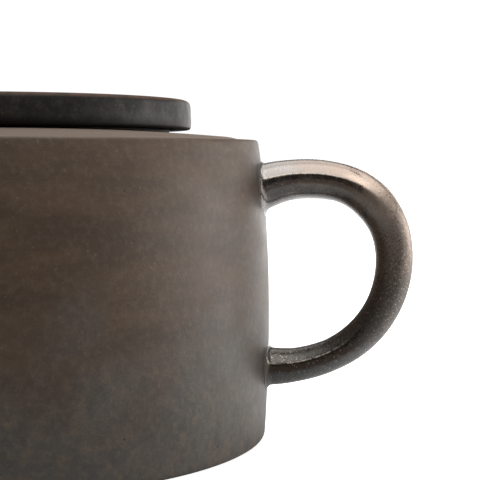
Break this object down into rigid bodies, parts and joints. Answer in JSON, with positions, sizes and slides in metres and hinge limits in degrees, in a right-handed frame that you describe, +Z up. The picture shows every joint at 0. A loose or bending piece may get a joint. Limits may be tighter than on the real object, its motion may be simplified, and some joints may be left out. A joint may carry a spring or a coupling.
{
  "type": "sugar bowl",
  "caption": "Low round stoneware bowl with a flat shoulder, a round-rod loop handle on its wall and a flat disc lid that lifts off its raised collar.",
  "frame": {"origin": "on the bowl's axis, in the plane of the foot", "axes": "+Z up along the bowl's axis, +X from the axis towards the handle, +Y to the left of someone who looks along +X"},
  "size_m": [0.1409, 0.1116, 0.0692],
  "materials": {
    "bowl_stoneware": "matte, finely mottled grey-brown",
    "handle_stoneware": "satin dark brown with fine warm speckle",
    "lid_stoneware": "matte charcoal, brown where it thins on the top edge"
  },
  "bodies": {
    "bowl": {"bowl": "bowl_stoneware", "handle": "handle_stoneware"},
    "lid": {"lid": "lid_stoneware"}
  },
  "joints": [
    {"name": "lid_lift", "type": "slide", "parent": "bowl", "child": "lid", "axis": [0, 0, 1], "range_m": [0, 0.08]}
  ]
}
